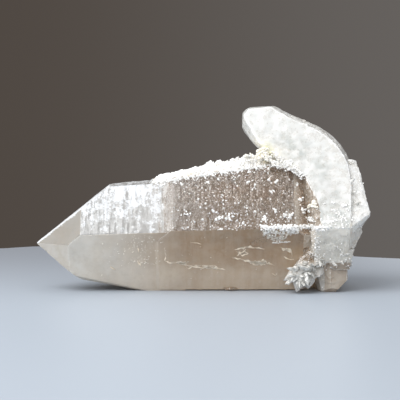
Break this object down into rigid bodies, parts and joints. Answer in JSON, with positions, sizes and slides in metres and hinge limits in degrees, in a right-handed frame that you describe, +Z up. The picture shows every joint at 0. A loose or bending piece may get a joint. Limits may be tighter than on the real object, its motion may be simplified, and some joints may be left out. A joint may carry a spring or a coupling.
{
  "type": "double-terminated quartz crystal",
  "caption": "Smoky quartz prism with a point at each end, lying on a prism face, with a curved milky crystal and small crystals grown into one end and white sugary crust on top.",
  "frame": {"origin": "centre of the bounding box at the level it rests on", "axes": "+X along the long prism from its clear point towards the curved crystal, +Y away from the side with the curved crystal's face, +Z up from the face it lies on"},
  "size_m": [0.0915, 0.0354, 0.0504],
  "materials": {
    "smoky_quartz": "clear, slightly hazy, growth-striated natural faces",
    "milky_quartz": "milky white, satin natural faces",
    "sugary_crust": "white sugary grains, matte with small sparkles"
  },
  "bodies": {
    "root": {"quartz_crystal": "smoky_quartz"}
  },
  "joints": []
}
